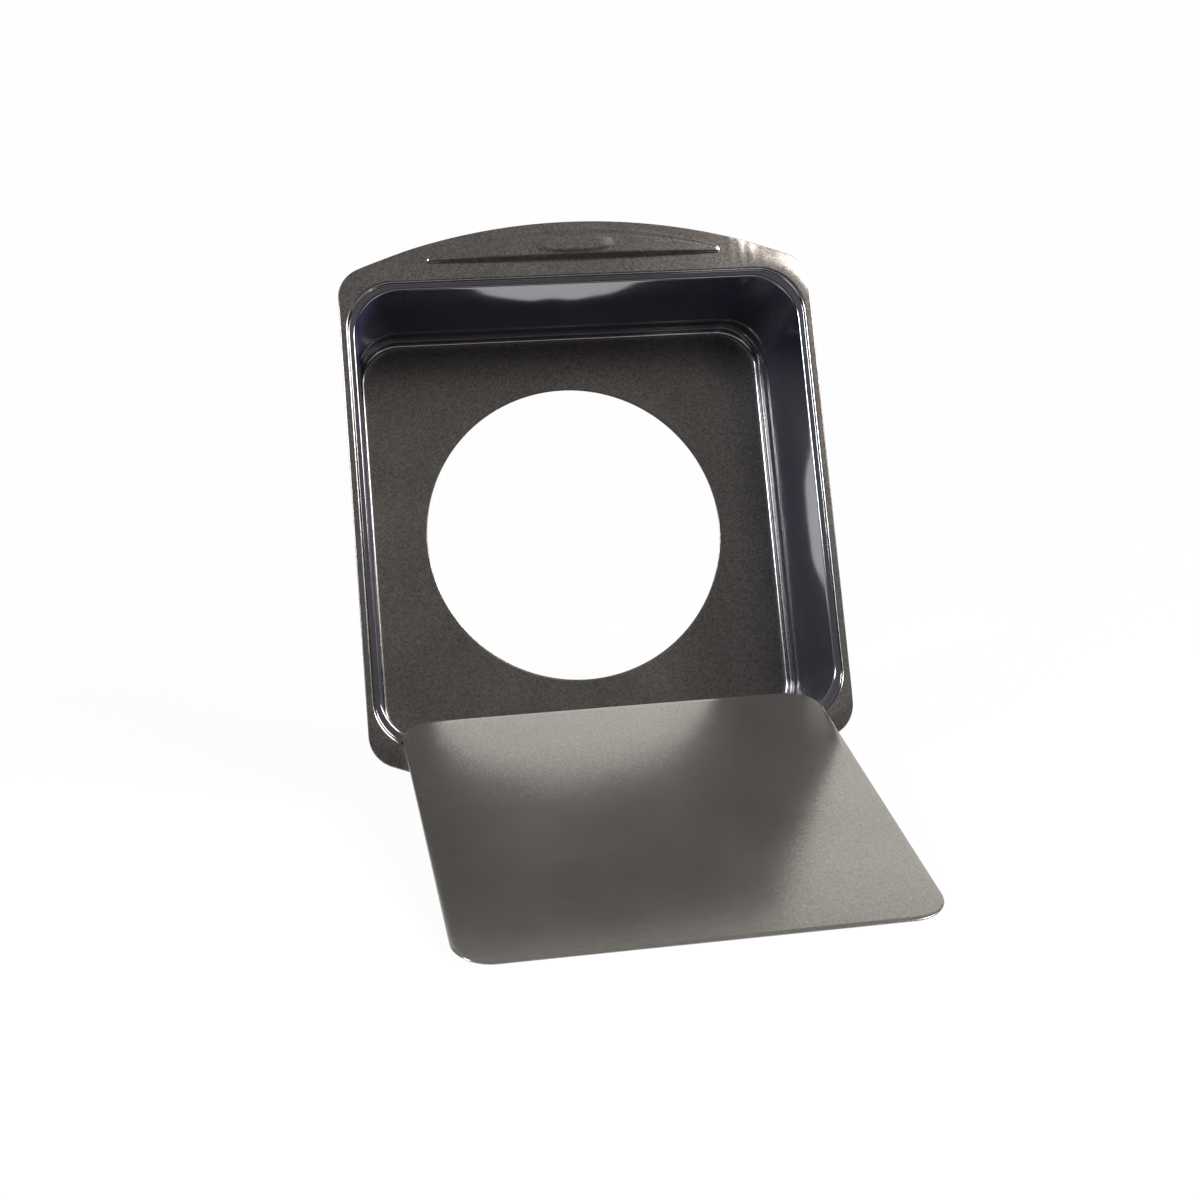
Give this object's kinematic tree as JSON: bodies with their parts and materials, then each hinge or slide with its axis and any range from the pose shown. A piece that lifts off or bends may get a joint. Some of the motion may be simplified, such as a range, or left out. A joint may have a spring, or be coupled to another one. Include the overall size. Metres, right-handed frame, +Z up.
{
  "type": "square cake pan",
  "caption": "Deep square cake pan with a loose base, arched end handles, a stepped rim and a round hole in its floor for pushing the base out.",
  "frame": {"origin": "on the table, below the middle of the standing set's box", "axes": "+Z up from the table; +Y from the loose base towards the pan; +X to the right along the handles"},
  "size_m": [0.2216, 0.3318, 0.2444],
  "materials": {
    "pan_coating": "dark charcoal non-stick coating, satin with a fine metallic speckle",
    "base_coating": "warm grey non-stick coating, smooth satin"
  },
  "bodies": {
    "pan": {"pan_shell": "pan_coating"},
    "base_plate": {"loose_base": "base_coating"}
  },
  "joints": [
    {"name": "base_lift", "type": "slide", "parent": "pan", "child": "base_plate", "axis": [0, 0, 1], "range_m": [0, 0.25]}
  ]
}
